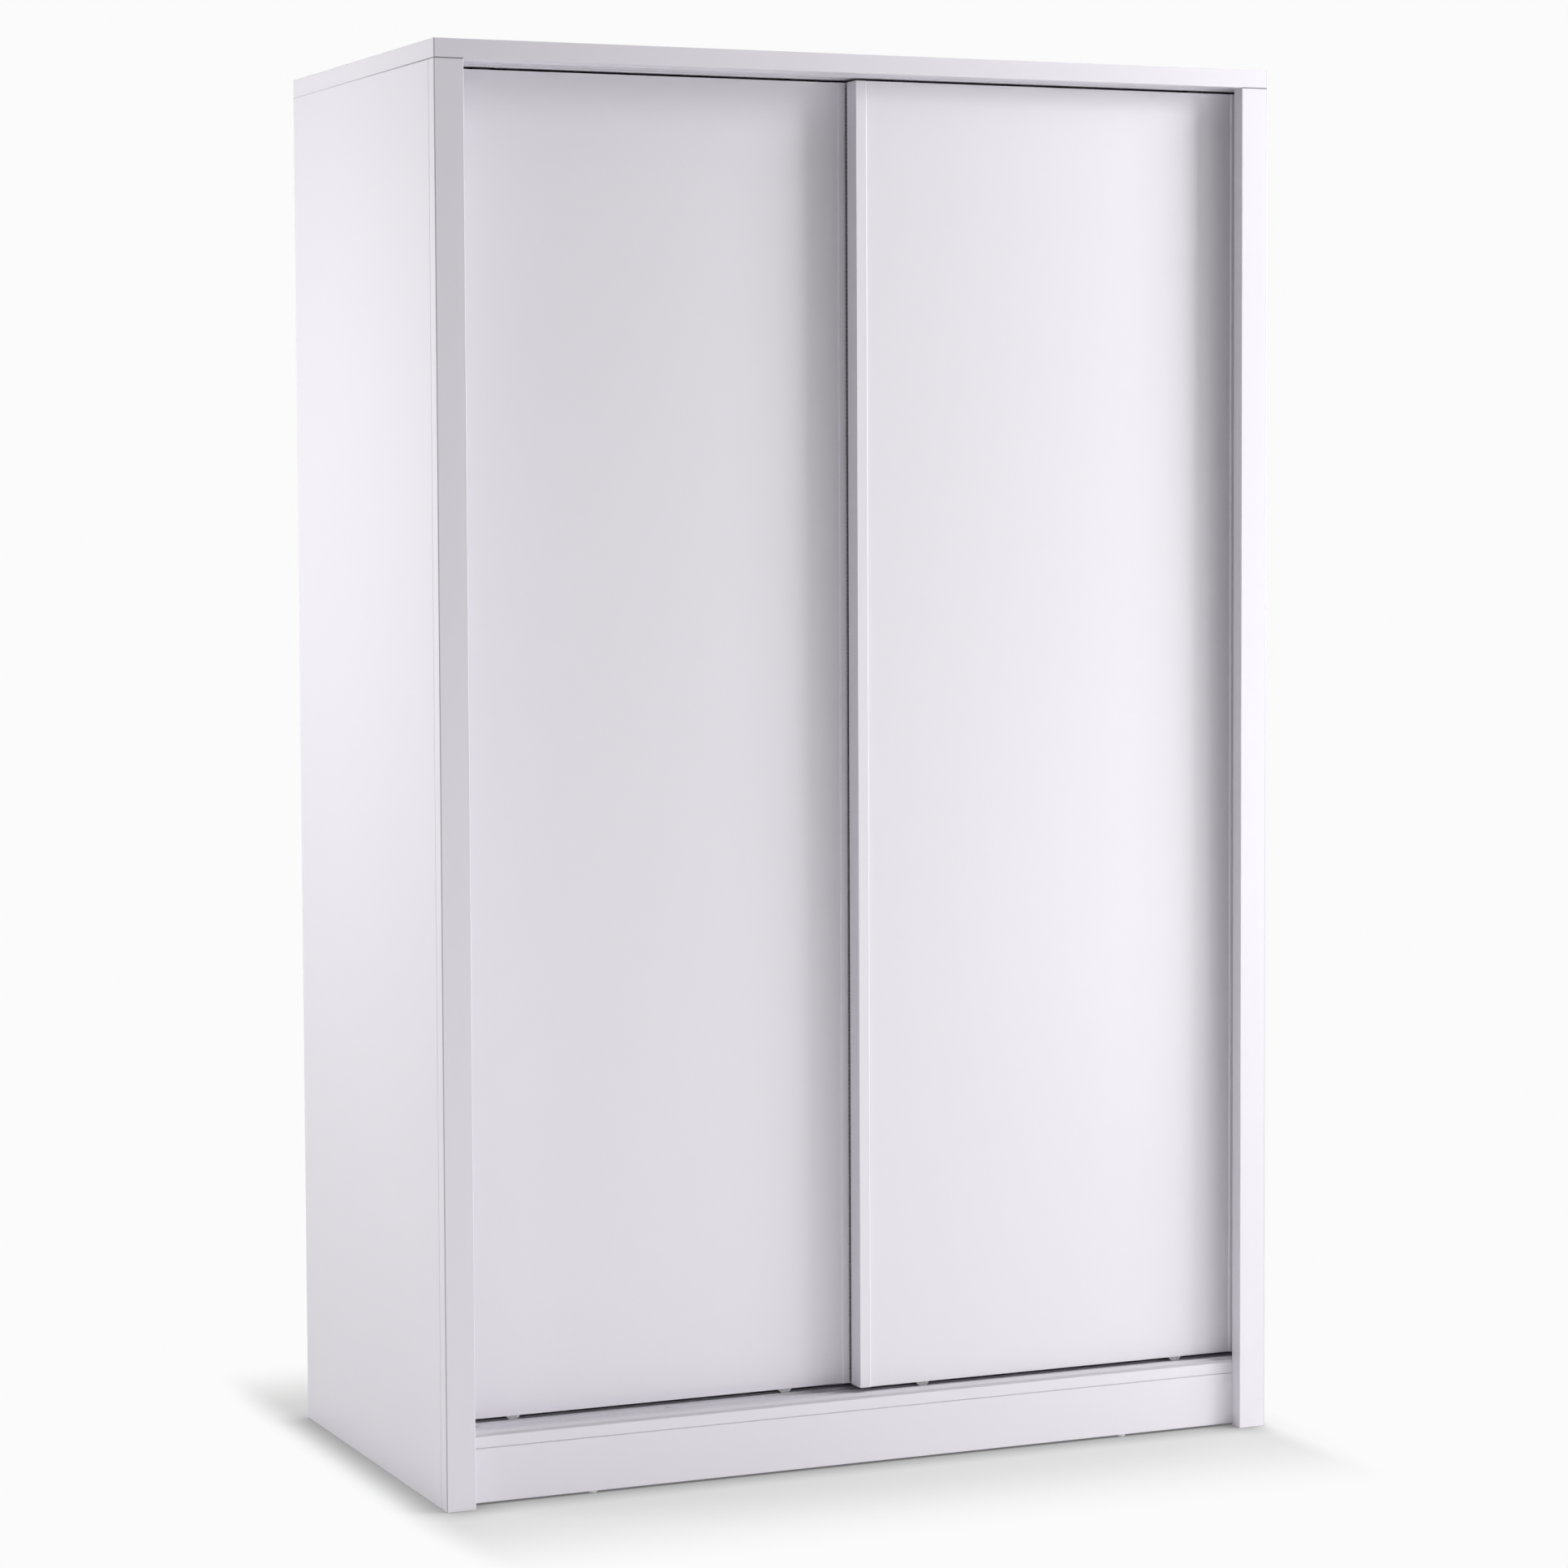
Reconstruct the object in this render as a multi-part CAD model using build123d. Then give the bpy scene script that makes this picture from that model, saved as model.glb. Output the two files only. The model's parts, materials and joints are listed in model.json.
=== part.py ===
from build123d import *
import os

os.makedirs("parts", exist_ok=True)

# Sliding door wardrobe, in millimetres. X runs to the right, the doors face -Y and Z is up.
# The origin lies on the floor, under the middle of the carcass.

# Carcass
overall_width = 1216.0
overall_depth = 616.0
overall_height = 1900.0
board = 16.0
top_thickness = 25.0
stile_width = 40.0
stile_depth = 22.0
edge_ease = 0.8
plinth_height = 72.0
rear_plinth_inset = 40.0
glide_height = 3.0
glide_radius = 6.5
glide_inset = 197.0
block_leg = 22.0
block_length = 40.0
block_inset = 110.0

# Back
back_thickness = 3.0
back_margin = 3.0
strip_flange = 24.0
strip_wall = 1.0
strip_play = 0.2

# Doors
door_depth = 30.0
door_panel_thickness = 16.0
front_door_setback = 18.0
door_spacing = 6.5
door_overlap = 5.5
left_door_side_gap = 8.5
right_door_side_gap = 3.0
gap_below_doors = 6.0
gap_above_doors = 5.5
profile_face = 16.0
profile_wall = 2.0
profile_bevel = 1.5
panel_play = 0.3

# Track, wheels and roller housings
track_height = 4.0
track_floor = 1.5
track_rear_margin = 6.0
nose_width = 5.0
nose_rise = 3.0
ridge_width = 3.0
groove_width = 10.0
runner_setback = 12.0
roller_inset = 98.0
wheel_radius = 10.0
wheel_width = 7.0
wheel_clearance = 0.3
wheel_side_play = 0.5
wheel_slot_play = 2.5
axle_radius = 2.0
axle_play = 0.05
housing_width = 46.0
housing_height = 26.0
housing_play = 0.2
lug_width = 12.0
lug_drop = 3.0
lug_bevel = 2.0
flange_overlap = 11.0
flange_thickness = 2.0
flange_bevel = 3.0

# Upper rails and guides
guide_inset = 70.0
guide_width = 34.0
guide_height = 26.0
finger_length = 24.0
finger_width = 8.0
finger_reach = 7.0
finger_bevel = 2.5
rail_wall = 1.5
rail_play = 0.5
rail_depth = 11.0
rail_flange = 5.0
rail_lip = 2.0
rail_groove_play = 0.1

# Door buffers and the brush between the doors
buffer_radius = 6.0
buffer_thickness = 2.5
brush_inset = 1.0
brush_width = 5.0
brush_backing = 1.2
brush_end_gap = 2.0
brush_clearance = 0.6
strand_pitch = 11.6
strand_radius = 0.9
strand_sides = 3
strand_rows = 2
strand_splay = 18.0

# Inside
partition_clearance = 7.5
hat_space = 315.0
shelf_count = 4
shelf_play = 0.5
shelf_setback = 5.0
pin_radius = 2.5
pin_reach = 9.0
pin_depth = 7.0
pin_inset = 50.0
hanger_radius = 12.5
hanger_wall = 1.2
hanger_drop = 62.0
socket_flange_radius = 22.0
socket_flange = 3.0
socket_cup = 14.0
socket_wall = 3.0
socket_play = 0.1

# Fasteners
fastener_sides = 6
disc_sides = 10
fastener_play = 0.05
cam_radius = 7.5
cam_height = 12.5
cam_play = 0.1
cam_setback = 34.0
bolt_radius = 3.5
bolt_play = 0.5
thread_radius = 2.5
thread_depth = 11.0
joint_inset = 90.0
dowel_radius = 4.0
dowel_length = 30.0
dowel_inset = 220.0
screw_radius = 1.5
screw_head_radius = 3.2
screw_head = 1.8
screw_depth = 10.0
track_screw_count = 5
track_screw_inset = 50.0
nail_radius = 0.8
nail_head_radius = 2.6
nail_head = 0.7
nail_length = 18.0
nail_inset = 120.0
side_nail_count = 5
level_nail_count = 2
bracket_width = 30.0
bracket_leg = 40.0
bracket_thickness = 2.0
bracket_spacing = 600.0
wall_hole_radius = 2.75

# Planes that the pieces share
half_width = overall_width / 2
inner_half = half_width - board
front = -overall_depth / 2
back = overall_depth / 2
board_front = front + stile_depth
rear_edge = back - back_thickness
top_under = overall_height - top_thickness
base_under = glide_height + plinth_height
base_top = base_under + board
track_top = base_top + track_height
door_bottom = track_top + gap_below_doors
door_top = top_under - gap_above_doors
door_width = inner_half + (door_overlap - left_door_side_gap - right_door_side_gap) / 2
left_door_x = left_door_side_gap - inner_half
right_door_x = inner_half - right_door_side_gap - door_width
front_door_face = board_front + front_door_setback
rear_door_face = front_door_face + door_depth + door_spacing
runner_planes = (front_door_face + runner_setback, rear_door_face + runner_setback)
panel_front = profile_wall
panel_rear = panel_front + door_panel_thickness
partition_front = rear_door_face + door_depth + partition_clearance
partition_rear = rear_edge - strip_wall
shelf_front = partition_front + shelf_setback
shelf_rear = partition_rear - shelf_play
hat_shelf_top = top_under - hat_space
wheel_height = base_top + track_floor + wheel_clearance + wheel_radius


def box(x, y, z):
    """A block between two limits on each axis."""
    size = [abs(b - a) for a, b in (x, y, z)]
    centre = [(a + b) / 2 for a, b in (x, y, z)]
    return Pos(*centre) * Box(*size)


def eased_board(x, y, z):
    """A board with the small edge break of its banding."""
    plain = box(x, y, z)
    return chamfer(plain.edges(), edge_ease)


def bar(axis, span, across, radius, sides=0):
    """A bar or bore along an axis: round, or with a few flats where it is small and repeats.

    across gives its place on the other two axes, and radius is measured to the flats.
    """
    half = abs(span[1] - span[0]) / 2
    middle = sum(span) / 2
    if sides:
        outline = RegularPolygon(radius, sides, major_radius=False, rotation=180 / sides)
        stock = extrude(outline, half, both=True)
    else:
        stock = Cylinder(radius, 2 * half)
    if axis == "x":
        return Pos(middle, *across) * Rot(0, 90, 0) * stock
    if axis == "y":
        return Pos(across[0], middle, across[1]) * Rot(90, 0, 0) * stock
    return Pos(*across, middle) * stock


def spaced(start, end, count):
    """Evenly spaced places from start to end, both included."""
    return [start + (end - start) * i / (count - 1) for i in range(count)]


def save(node, *shapes):
    """Write one sub-part, made of one or several separate solids."""
    solids = [solid for shape in shapes for solid in shape.solids()]
    whole = solids[0] if len(solids) == 1 else Compound(children=solids)
    export_step(whole, f"parts/{node}.step")


# Cam joints: a bolt screwed into one board is drawn in by a cam let into the other

def cam_joint_upright(x_face, side, y, z_joint, up):
    """A joint between an upright board and the level one over (up=1) or under (up=-1) it.

    x_face is the upright's face that takes the cam, and side points out of that face.
    """
    x = x_face - side * board / 2
    z = z_joint - up * cam_setback
    channel = bar("z", (z - up * bolt_radius, z_joint), (x, y), bolt_radius + bolt_play, fastener_sides)
    seat = x_face - side * (cam_height + cam_play)
    thread_end = z_joint + up * thread_depth
    cam = bar("x", (x_face - side * cam_height, x_face), (y, z), cam_radius, disc_sides) - channel
    bolt = bar("z", (z, z_joint), (x, y), bolt_radius, fastener_sides)
    bolt += bar("z", (z_joint, thread_end), (x, y), thread_radius, fastener_sides)
    return {
        "cam": cam,
        "bolt": bolt,
        "upright_cut": channel + bar("x", (seat, x_face), (y, z), cam_radius + cam_play, disc_sides),
        "level_cut": bar("z", (z_joint, thread_end + up * fastener_play), (x, y),
                         thread_radius + fastener_play, fastener_sides),
    }


def cam_joint_level(side, y):
    """A joint between the base and one side, with the cam under the base."""
    x_joint = side * inner_half
    x = x_joint - side * cam_setback
    z = base_under + board / 2
    channel = bar("x", (x - side * bolt_radius, x_joint), (y, z), bolt_radius + bolt_play, fastener_sides)
    seat = base_under + cam_height + cam_play
    thread_end = x_joint + side * thread_depth
    cam = bar("z", (base_under, base_under + cam_height), (x, y), cam_radius, disc_sides) - channel
    bolt = bar("x", (x, x_joint), (y, z), bolt_radius, fastener_sides)
    bolt += bar("x", (x_joint, thread_end), (y, z), thread_radius, fastener_sides)
    return {
        "cam": cam,
        "bolt": bolt,
        "level_cut": channel + bar("z", (base_under, seat), (x, y), cam_radius + cam_play, disc_sides),
        "upright_cut": bar("x", (x_joint, thread_end + side * fastener_play), (y, z),
                           thread_radius + fastener_play, fastener_sides),
    }


side_rows = (board_front + joint_inset, rear_edge - joint_inset)
partition_rows = (partition_front + joint_inset, rear_edge - joint_inset)
top_joints = {}
base_joints = {}
for side in (-1, 1):
    top_joints[side] = [cam_joint_upright(side * inner_half, -side, y, top_under, 1) for y in side_rows]
    base_joints[side] = [cam_joint_level(side, y) for y in side_rows]
partition_top_joints = [cam_joint_upright(-board / 2, -1, y, top_under, 1) for y in partition_rows]
partition_base_joints = [cam_joint_upright(-board / 2, -1, y, base_top, -1) for y in partition_rows]
joints_under_top = top_joints[-1] + top_joints[1] + partition_top_joints
joints_at_base = base_joints[-1] + base_joints[1] + partition_base_joints
save("cam_locks", *[joint["cam"] for joint in joints_under_top + joints_at_base])
save("cam_bolts", *[joint["bolt"] for joint in joints_under_top + joints_at_base])


# Dowels hold the stiles on the front edges of the sides

dowel_heights = spaced(dowel_inset, top_under - dowel_inset, 3)


def stile_dowel(side, z, play):
    """One dowel, half in the stile and half in the side, or its bore with some play."""
    reach = dowel_length / 2 + play
    place = (side * (half_width - board / 2), z)
    return bar("y", (board_front - reach, board_front + reach), place, dowel_radius + play, fastener_sides)


save("stile_dowels", *[stile_dowel(side, z, 0) for side in (-1, 1) for z in dowel_heights])


# Shelf pins: pegs in the uprights, with a flat on top for the shelf

shelf_pitch = (hat_shelf_top - base_top) / (shelf_count + 1)
shelf_tops = [base_top + shelf_pitch * (step + 1) for step in range(shelf_count)]
pin_rows = (shelf_front + pin_inset, shelf_rear - pin_inset)
left_bay_tops = [hat_shelf_top]
right_bay_tops = shelf_tops + [hat_shelf_top]
pin_faces = {
    "left_side": (-inner_half, 1, left_bay_tops),
    "partition_left": (-board / 2, -1, left_bay_tops),
    "partition_right": (board / 2, 1, right_bay_tops),
    "right_side": (inner_half, -1, right_bay_tops),
}


def pins_on(face, bores=False):
    """The pins of one upright's face, or the holes that take them."""
    x_face, side, tops = pin_faces[face]
    play = fastener_play if bores else 0
    span = (x_face - side * (pin_depth + play), x_face + side * (0 if bores else pin_reach))
    places = [(y, top - board - pin_radius) for top in tops for y in pin_rows]
    return [bar("x", span, place, pin_radius + play, fastener_sides) for place in places]


save("shelf_pins", *[pin for face in pin_faces for pin in pins_on(face)])


# Side panels, with the bores for their fittings, and the stiles in front of them

def side_panel(side, face):
    """One side, from the stile to the back panel."""
    panel = eased_board((side * half_width, side * inner_half), (board_front, rear_edge), (0, top_under))
    cuts = [joint["upright_cut"] for joint in top_joints[side] + base_joints[side]]
    cuts += [stile_dowel(side, z, fastener_play) for z in dowel_heights]
    return panel - cuts - pins_on(face, bores=True)


def front_stile(side):
    """The strip that covers the front edge of a side and the pocket that the door's edge runs into."""
    inner_edge = side * (half_width - stile_width)
    stile = eased_board((side * half_width, inner_edge), (front, board_front), (0, top_under))
    return stile - [stile_dowel(side, z, fastener_play) for z in dowel_heights]


save("left_side_panel", side_panel(-1, "left_side"))
save("right_side_panel", side_panel(1, "right_side"))
save("left_front_stile", front_stile(-1))
save("right_front_stile", front_stile(1))


# Upper rails: a channel let into the top panel, with a flange on each side

channel_half = finger_width / 2 + rail_play
channel_outer = channel_half + rail_wall
flange_outer = channel_outer + rail_flange


def upper_rail(plane):
    """One rail, drawn as its section and run from side to side."""
    roof = top_under + rail_depth
    ceiling = roof - rail_wall
    lip = top_under - rail_lip
    section = Polyline(
        (plane - flange_outer, lip), (plane - channel_half, lip), (plane - channel_half, ceiling),
        (plane + channel_half, ceiling), (plane + channel_half, lip), (plane + flange_outer, lip),
        (plane + flange_outer, top_under), (plane + channel_outer, top_under),
        (plane + channel_outer, roof), (plane - channel_outer, roof),
        (plane - channel_outer, top_under), (plane - flange_outer, top_under), close=True)
    return extrude(Plane.YZ * make_face(section), inner_half, both=True)


def rail_groove(plane):
    """The groove in the top panel that the rail's channel is pressed into."""
    half = channel_outer + rail_groove_play
    depth = (top_under, top_under + rail_depth + rail_groove_play)
    return box((-inner_half, inner_half), (plane - half, plane + half), depth)


save("front_upper_rail", upper_rail(runner_planes[0]))
save("rear_upper_rail", upper_rail(runner_planes[1]))


# Wall brackets: angles under the top panel that hold the wardrobe to a wall

bracket_places = (-bracket_spacing / 2, bracket_spacing / 2)
wall_hole_height = top_under - bracket_leg / 2
bracket_screw_y = rear_edge - bracket_leg / 2


def wall_bracket(x):
    """One bent angle with a hole for the wall screw and one for its own screw."""
    width = (x - bracket_width / 2, x + bracket_width / 2)
    plate = (top_under - bracket_thickness, top_under)
    leaf = (rear_edge - bracket_thickness, rear_edge)
    angle = box(width, (rear_edge - bracket_leg, rear_edge), plate)
    angle += box(width, leaf, (top_under - bracket_leg, top_under))
    angle -= bar("y", leaf, (x, wall_hole_height), wall_hole_radius)
    return angle - bar("z", plate, (x, bracket_screw_y), screw_radius + fastener_play, fastener_sides)


def bracket_screw(x):
    """A pan head screw through the bracket into the top panel."""
    place = (x, bracket_screw_y)
    seat = top_under - bracket_thickness
    head = bar("z", (seat - screw_head, seat), place, screw_head_radius, fastener_sides)
    return head + bar("z", (seat, top_under + screw_depth), place, screw_radius, fastener_sides)


def bracket_screw_bore(x):
    """The pilot hole in the top panel."""
    depth = (top_under, top_under + screw_depth + fastener_play)
    return bar("z", depth, (x, bracket_screw_y), screw_radius + fastener_play, fastener_sides)


save("wall_brackets", *[wall_bracket(x) for x in bracket_places])
save("wall_bracket_screws", *[bracket_screw(x) for x in bracket_places])


# Top panel, over the sides and the stiles

def top_board():
    """The thick board with the two rail grooves on its underside."""
    panel = eased_board((-half_width, half_width), (front, rear_edge), (top_under, overall_height))
    cuts = [rail_groove(plane) for plane in runner_planes]
    cuts += [joint["level_cut"] for joint in joints_under_top]
    cuts += [bracket_screw_bore(x) for x in bracket_places]
    return panel - cuts


save("top_panel", top_board())


# Bottom track: one extrusion with a sloped nose at the front and a ridge along each side of its two grooves

track_rear = runner_planes[1] + groove_width / 2 + ridge_width + track_rear_margin
track_screw_y = sum(runner_planes) / 2
track_screw_reach = inner_half - track_screw_inset
track_screw_places = spaced(-track_screw_reach, track_screw_reach, track_screw_count)


def track_section():
    """The section of the track, on a thin floor."""
    floor = base_top + track_floor
    nose = board_front + nose_width
    crest = track_top + nose_rise
    points = [(board_front, base_top), (board_front, track_top - edge_ease),
              (nose - edge_ease, crest), (nose, crest - edge_ease), (nose, floor)]
    for plane in runner_planes:
        for side in (-1, 1):
            middle = plane + side * (groove_width + ridge_width) / 2
            start = middle - ridge_width / 2
            end = middle + ridge_width / 2
            points += [(start, floor), (start + edge_ease, track_top)]
            points += [(end - edge_ease, track_top), (end, floor)]
    points += [(track_rear, floor), (track_rear, base_top)]
    return make_face(Polyline(*points, close=True))


def track_screw(x, play):
    """A flush screw between the grooves that holds the track on the base, or its bore with some play."""
    place = (x, track_screw_y)
    seat = base_top - screw_depth - play
    head = (base_top + track_floor - screw_head - play, base_top + track_floor)
    screw = bar("z", head, place, screw_head_radius + play, fastener_sides)
    return screw + bar("z", (seat, head[0]), place, screw_radius + play, fastener_sides)


save("bottom_track", extrude(Plane.YZ * track_section(), inner_half, both=True)
     - [track_screw(x, fastener_play) for x in track_screw_places])
save("track_screws", *[track_screw(x, 0) for x in track_screw_places])


# Base panel, plinths, brace, corner blocks and glides

rear_plinth_y = rear_edge - rear_plinth_inset - board
brace_span = (board_front + board, rear_plinth_y)
plinth_span = (glide_height, base_under)
block_reach = inner_half - block_inset
block_places = (-block_reach, -block_reach / 2, block_reach / 2, block_reach)
glide_rows = (board_front + board / 2, rear_plinth_y + board / 2)
glide_places = [(side * (inner_half - glide_inset), y) for y in glide_rows for side in (-1, 1)]
glide_places += [(0, sum(brace_span) / 2)]


def base_board():
    """The board that carries the track, the partition and the load inside."""
    panel = eased_board((-inner_half, inner_half), (board_front, rear_edge), (base_under, base_top))
    cuts = [joint["level_cut"] for joint in joints_at_base]
    cuts += [track_screw(x, fastener_play) for x in track_screw_places]
    return panel - cuts


def plinth(y_front):
    """A strip on edge under the base."""
    return eased_board((-inner_half, inner_half), (y_front, y_front + board), plinth_span)


def plinth_block(x, y_face, side):
    """A triangular block in the corner between a plinth and the base."""
    corner = Polyline((y_face, base_under), (y_face + side * block_leg, base_under),
                      (y_face, base_under - block_leg), close=True)
    return extrude(Plane.YZ.offset(x) * make_face(corner), block_length / 2, both=True)


def floor_glide(place):
    """A hard pad under a plinth."""
    return bar("z", (0, glide_height), place, glide_radius, disc_sides)


save("base_panel", base_board())
save("front_plinth", plinth(board_front))
save("rear_plinth", plinth(rear_plinth_y))
save("plinth_brace", eased_board((-board / 2, board / 2), brace_span, plinth_span))
save("plinth_blocks", *[plinth_block(x, brace_span[0], 1) for x in block_places],
     *[plinth_block(x, brace_span[1], -1) for x in block_places])
save("floor_glides", *[floor_glide(place) for place in glide_places])


# Centre partition and shelves

def centre_board():
    """The upright between the two bays, behind the doors."""
    panel = eased_board((-board / 2, board / 2), (partition_front, partition_rear), (base_top, top_under))
    cuts = [joint["upright_cut"] for joint in partition_top_joints + partition_base_joints]
    return panel - cuts - pins_on("partition_left", bores=True) - pins_on("partition_right", bores=True)


def bay_shelf(bay, top):
    """A loose shelf on its pins; bay is -1 on the left and 1 on the right."""
    near = bay * (board / 2 + shelf_play)
    far = bay * (inner_half - shelf_play)
    return eased_board((near, far), (shelf_front, shelf_rear), (top - board, top))


save("centre_partition", centre_board())
save("left_hat_shelf", bay_shelf(-1, hat_shelf_top))
save("right_hat_shelf", bay_shelf(1, hat_shelf_top))
for number, top in enumerate(shelf_tops, start=1):
    save(f"right_shelf_{number}", bay_shelf(1, top))


# Hanging rail in the left bay, in two end sockets

hanger_place = ((shelf_front + shelf_rear) / 2, hat_shelf_top - board - hanger_drop)


def hanger_tube():
    """A thin round tube between the sockets' flanges."""
    ends = (-inner_half + socket_flange, -board / 2 - socket_flange)
    bore = bar("x", ends, hanger_place, hanger_radius - hanger_wall)
    return bar("x", ends, hanger_place, hanger_radius) - bore


def hanger_socket(x_face, side):
    """A flange on the board with a round cup for the tube's end."""
    flange_face = x_face + side * socket_flange
    mouth = flange_face + side * socket_cup
    cup = hanger_radius + socket_play
    socket = bar("x", (x_face, flange_face), hanger_place, socket_flange_radius)
    socket += bar("x", (flange_face, mouth), hanger_place, cup + socket_wall)
    return socket - bar("x", (flange_face, mouth), hanger_place, cup)


save("hanging_rail", hanger_tube())
save("hanging_rail_sockets", hanger_socket(-inner_half, 1), hanger_socket(-board / 2, -1))


# Back panels, nailed to the rear edges, with a joint strip between them

back_span = (base_under + back_margin, overall_height - back_margin)
back_outer = half_width - back_margin
back_seam = strip_wall / 2 + strip_play


def back_panel(side):
    """One sheet of thin hardboard, with the hole of its wall bracket."""
    sheet = box((side * back_seam, side * back_outer), (rear_edge, back), back_span)
    hole_place = (side * bracket_spacing / 2, wall_hole_height)
    return sheet - bar("y", (rear_edge, back), hole_place, wall_hole_radius)


def joint_strip():
    """An H-shaped strip that grips the edges of both sheets."""
    flange = (-strip_flange / 2, strip_flange / 2)
    strip = box(flange, (rear_edge - strip_wall, rear_edge), (base_top, top_under))
    strip += box((-strip_wall / 2, strip_wall / 2), (rear_edge, back), back_span)
    return strip + box(flange, (back, back + strip_wall), back_span)


def back_nail(x, z):
    """A panel pin with its flat head on the hardboard."""
    nail = bar("y", (back - nail_length, back), (x, z), nail_radius, fastener_sides)
    return nail + bar("y", (back, back + nail_head), (x, z), nail_head_radius, fastener_sides)


def nail_places():
    """Nails up both sides, and along the base and the top."""
    heights = spaced(back_span[0] + nail_inset, back_span[1] - nail_inset, side_nail_count)
    places = [(side * (half_width - board / 2), z) for side in (-1, 1) for z in heights]
    for z in (base_under + board / 2, top_under + board / 2):
        reach = spaced(nail_inset, inner_half - nail_inset, level_nail_count)
        places += [(side * x, z) for side in (-1, 1) for x in reach]
    return places


save("left_back_panel", back_panel(-1))
save("right_back_panel", back_panel(1))
save("back_joint_strip", joint_strip())
save("back_nails", *[back_nail(x, z) for x, z in nail_places()])


# Rubber buffers on the sides, one for each end of both doors' travel

buffer_height = (door_bottom + door_top) / 2


def door_buffer(side, door_face):
    """A round self-adhesive pad."""
    span = (side * inner_half, side * (inner_half - buffer_thickness))
    return bar("x", span, (door_face + door_depth / 2, buffer_height), buffer_radius, disc_sides)


door_faces = (front_door_face, rear_door_face)
save("door_buffers", *[door_buffer(side, face) for side in (-1, 1) for face in door_faces])


# Door pieces. Each is drawn for a door whose left edge lies at x and whose face lies at y.

roller_places = (roller_inset, door_width - roller_inset)
guide_places = (guide_inset, door_width - guide_inset)
housing_span = (door_bottom, door_bottom + housing_height)
guide_span = (door_top - guide_height, door_top)
slot_half = wheel_width / 2 + wheel_side_play
cheek_front = runner_setback - slot_half - profile_wall
flange_rear = panel_rear + flange_thickness


def edge_profile(x, y, side, brush):
    """An upright extrusion that grips the panel's edge; side is -1 on the left edge.

    Its front face stands proud of the panel and ends in a bevel. Behind the panel it is a
    closed box, and with a brush it has a groove for the backing in its rear wall.
    """
    edge = x if side < 0 else x + door_width

    def face(*corners):
        points = [(edge - side * across, y + deep) for across, deep in corners]
        return make_face(Polyline(*points, close=True))

    chamber_front = panel_rear + profile_wall
    chamber_rear = door_depth - profile_wall
    chamber_inner = profile_face - profile_wall
    section = face((0, 0), (profile_face - profile_bevel, 0), (profile_face, panel_front),
                   (profile_wall, panel_front), (profile_wall, panel_rear), (profile_face, panel_rear),
                   (profile_face, door_depth), (0, door_depth))
    section -= face((profile_wall, chamber_front), (chamber_inner, chamber_front),
                    (chamber_inner, chamber_rear), (profile_wall, chamber_rear))
    if brush:
        groove_end = brush_inset + brush_width
        groove_floor = door_depth - brush_backing
        section -= face((brush_inset, groove_floor), (groove_end, groove_floor),
                        (groove_end, door_depth), (brush_inset, door_depth))
    return extrude(Pos(0, 0, door_bottom) * section, door_top - door_bottom)


def screw_offsets(width):
    """Where a fitting's two screws sit, left and right of its body."""
    return [side * (width + flange_overlap) / 2 for side in (-1, 1)]


def screw_bores(x, y, width, span):
    """The holes for a fitting's screws, through its flange and into the panel."""
    reach = (y + flange_rear - screw_depth - fastener_play, y + flange_rear)
    return [bar("y", reach, (x + offset, sum(span) / 2), screw_radius + fastener_play, fastener_sides)
            for offset in screw_offsets(width)]


def fitting_screws(x, y, width, span):
    """Two pan head screws that hold a fitting on the panel."""
    seat = y + flange_rear
    screws = []
    for offset in screw_offsets(width):
        place = (x + offset, sum(span) / 2)
        shank = bar("y", (seat - screw_depth, seat), place, screw_radius, fastener_sides)
        screws.append(shank + bar("y", (seat, seat + screw_head), place, screw_head_radius, fastener_sides))
    return screws


def fitting_body(x, y, width, span):
    """A block in the panel's pocket with a wider plate on the panel's rear face."""
    half = width / 2
    reach = half + flange_overlap
    plate = box((x - reach, x + reach), (y + panel_rear, y + flange_rear), span)
    plate = chamfer(plate.edges().filter_by(Axis.Y), flange_bevel)
    body = plate + box((x - half, x + half), (y + cheek_front, y + panel_rear), span)
    return body - screw_bores(x, y, width, span)


def door_panel(x, y):
    """The glossy board between the two profiles, pocketed from behind for its fittings."""
    edge = profile_wall + panel_play
    depth = (y + panel_front, y + panel_rear)
    pocket_depth = (y + cheek_front - housing_play, y + panel_rear)
    panel = box((x + edge, x + door_width - edge), depth, (door_bottom, door_top))
    fittings = [(place, housing_width, housing_span, (0, housing_play)) for place in roller_places]
    fittings += [(place, guide_width, guide_span, (-housing_play, 0)) for place in guide_places]
    for place, width, span, play in fittings:
        half = width / 2 + housing_play
        height = (span[0] + play[0], span[1] + play[1])
        panel -= box((x + place - half, x + place + half), pocket_depth, height)
        panel -= screw_bores(x + place, y, width, span)
    return panel


def roller_housing(x, y):
    """A fork let into the panel's lower edge: two cheeks with lugs round the axle, and the wheel's slot."""
    lug = box((x - lug_width / 2, x + lug_width / 2), (y + cheek_front, y + panel_rear),
              (door_bottom - lug_drop, door_bottom))
    lug = chamfer(lug.edges().filter_by(Axis.Y).group_by(Axis.Z)[0], lug_bevel)
    reach = wheel_radius + wheel_slot_play
    slot = box((x - reach, x + reach), (y + runner_setback - slot_half, y + runner_setback + slot_half),
               (door_bottom - lug_drop, wheel_height + reach))
    bore = bar("y", (y + cheek_front, y + flange_rear), (x, wheel_height), axle_radius + axle_play)
    return fitting_body(x, y, housing_width, housing_span) + lug - slot - bore


def roller_axle(x, y):
    """The pin through both cheeks of the fork."""
    return bar("y", (y + cheek_front, y + flange_rear), (x, wheel_height), axle_radius)


def roller_wheel(x, y):
    """A moulded wheel that turns on the axle."""
    tread = (y + runner_setback - wheel_width / 2, y + runner_setback + wheel_width / 2)
    centre = (x, wheel_height)
    return bar("y", tread, centre, wheel_radius) - bar("y", tread, centre, axle_radius + axle_play)


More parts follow.
